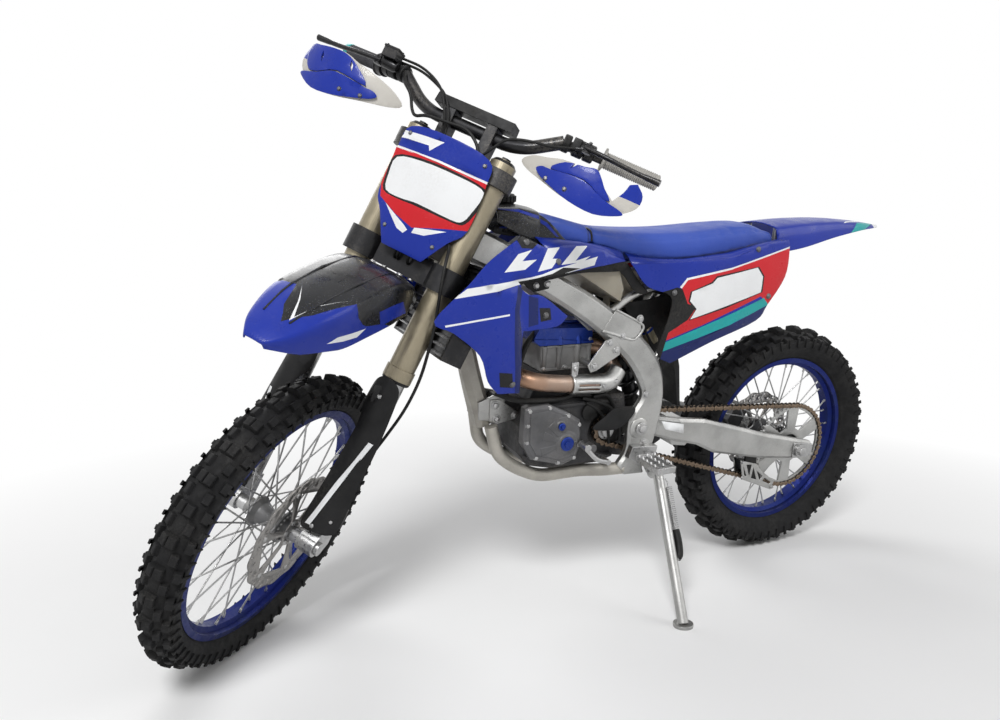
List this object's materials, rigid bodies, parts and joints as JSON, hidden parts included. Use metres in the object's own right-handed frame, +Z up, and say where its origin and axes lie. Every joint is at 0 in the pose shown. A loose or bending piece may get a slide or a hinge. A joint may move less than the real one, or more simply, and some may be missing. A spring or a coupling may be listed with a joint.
{
  "type": "dirt bike",
  "caption": "Off-road motorcycle leaning on its side stand with the steering at its left stop, knobbly spoked wheels, aluminium beam frame and plastic bodywork.",
  "frame": {"origin": "on the floor under the middle of the bounding box, with the bike as it parks", "axes": "+X forward along the wheelbase, +Y to the rider's left, +Z up"},
  "size_m": [2.0892, 0.668, 1.3783],
  "materials": {
    "tyre_rubber": "matte",
    "blue_rim": "gloss",
    "bright_steel": "satin",
    "cast_grey": "matte",
    "bare_aluminium": "satin",
    "gold_anodised": "satin",
    "black_metal": "satin",
    "black_plastic": "matte",
    "blue_plastic": "gloss",
    "tank_plastic": "matte",
    "seat_cover": "matte",
    "grip_rubber": "matte",
    "header_steel": "satin",
    "chain_steel": "satin",
    "hose_rubber": "matte"
  },
  "bodies": {
    "chassis": {"frame_front": "bare_aluminium", "frame_beams": "bare_aluminium", "cradle_rails": "bare_aluminium", "seat": "seat_cover", "rear_fender": "blue_plastic", "subframe": "bare_aluminium", "swingarm": "bare_aluminium", "pivot_bolt": "bright_steel", "rear_axle": "bright_steel", "shock_absorber": "black_metal", "crankcase": "cast_grey", "engine_covers": "cast_grey", "cylinder": "cast_grey", "head_cover": "blue_plastic", "exhaust_header": "header_steel", "muffler": "bare_aluminium", "engine_brackets": "bare_aluminium", "radiators": "black_metal", "shrouds": "blue_plastic", "tank_cover": "black_plastic", "fuel_tank": "tank_plastic", "side_panels": "blue_plastic", "mud_flap": "black_plastic", "chain": "chain_steel", "drive_sprocket": "bright_steel", "chain_guide": "black_plastic", "footpegs": "bright_steel", "shift_lever": "bright_steel", "brake_pedal": "bright_steel", "rear_caliper": "cast_grey"},
    "steering": {"fork_tubes": "gold_anodised", "fork_sliders": "bare_aluminium", "front_axle": "bright_steel", "lower_clamp": "cast_grey", "upper_clamp": "cast_grey", "handlebar": "black_metal", "grips": "grip_rubber", "bar_pad": "black_plastic", "hand_levers": "bare_aluminium", "handguards": "blue_plastic", "number_plate": "blue_plastic", "front_fender": "blue_plastic", "fork_guards": "black_plastic", "front_caliper": "cast_grey", "front_brake_hose": "hose_rubber", "control_cables": "hose_rubber"},
    "front_wheel": {"front_tyre": "tyre_rubber", "front_rim": "blue_rim", "front_hub": "cast_grey", "front_spokes": "bright_steel", "front_disc": "bright_steel"},
    "rear_wheel": {"rear_tyre": "tyre_rubber", "rear_rim": "blue_rim", "rear_hub": "cast_grey", "rear_spokes": "bright_steel", "rear_disc": "bright_steel", "rear_sprocket": "bare_aluminium"},
    "side_stand": {"side_stand": "bare_aluminium"}
  },
  "joints": [
    {"name": "steering_turn", "type": "hinge", "parent": "chassis", "child": "steering", "pos_m": [0.73382, -0.1004, 0.30837], "axis": [-0.4458, 0.1163, 0.8875], "range_deg": [-90, 0]},
    {"name": "front_wheel_spin", "type": "hinge", "parent": "steering", "child": "front_wheel", "pos_m": [0.76669, -0.06177, 0.31982], "axis": [-0.6338, 0.6592, -0.4048], "continuous": true},
    {"name": "rear_wheel_spin", "type": "hinge", "parent": "chassis", "child": "rear_wheel", "pos_m": [-0.70464, -0.09837, 0.33709], "axis": [-0.0012, 0.9914, -0.1305], "continuous": true},
    {"name": "side_stand_fold", "type": "hinge", "parent": "chassis", "child": "side_stand", "pos_m": [-0.18465, 0.04305, 0.33386], "axis": [0.0987, 0.8745, 0.475], "range_deg": [0, 90]}
  ]
}
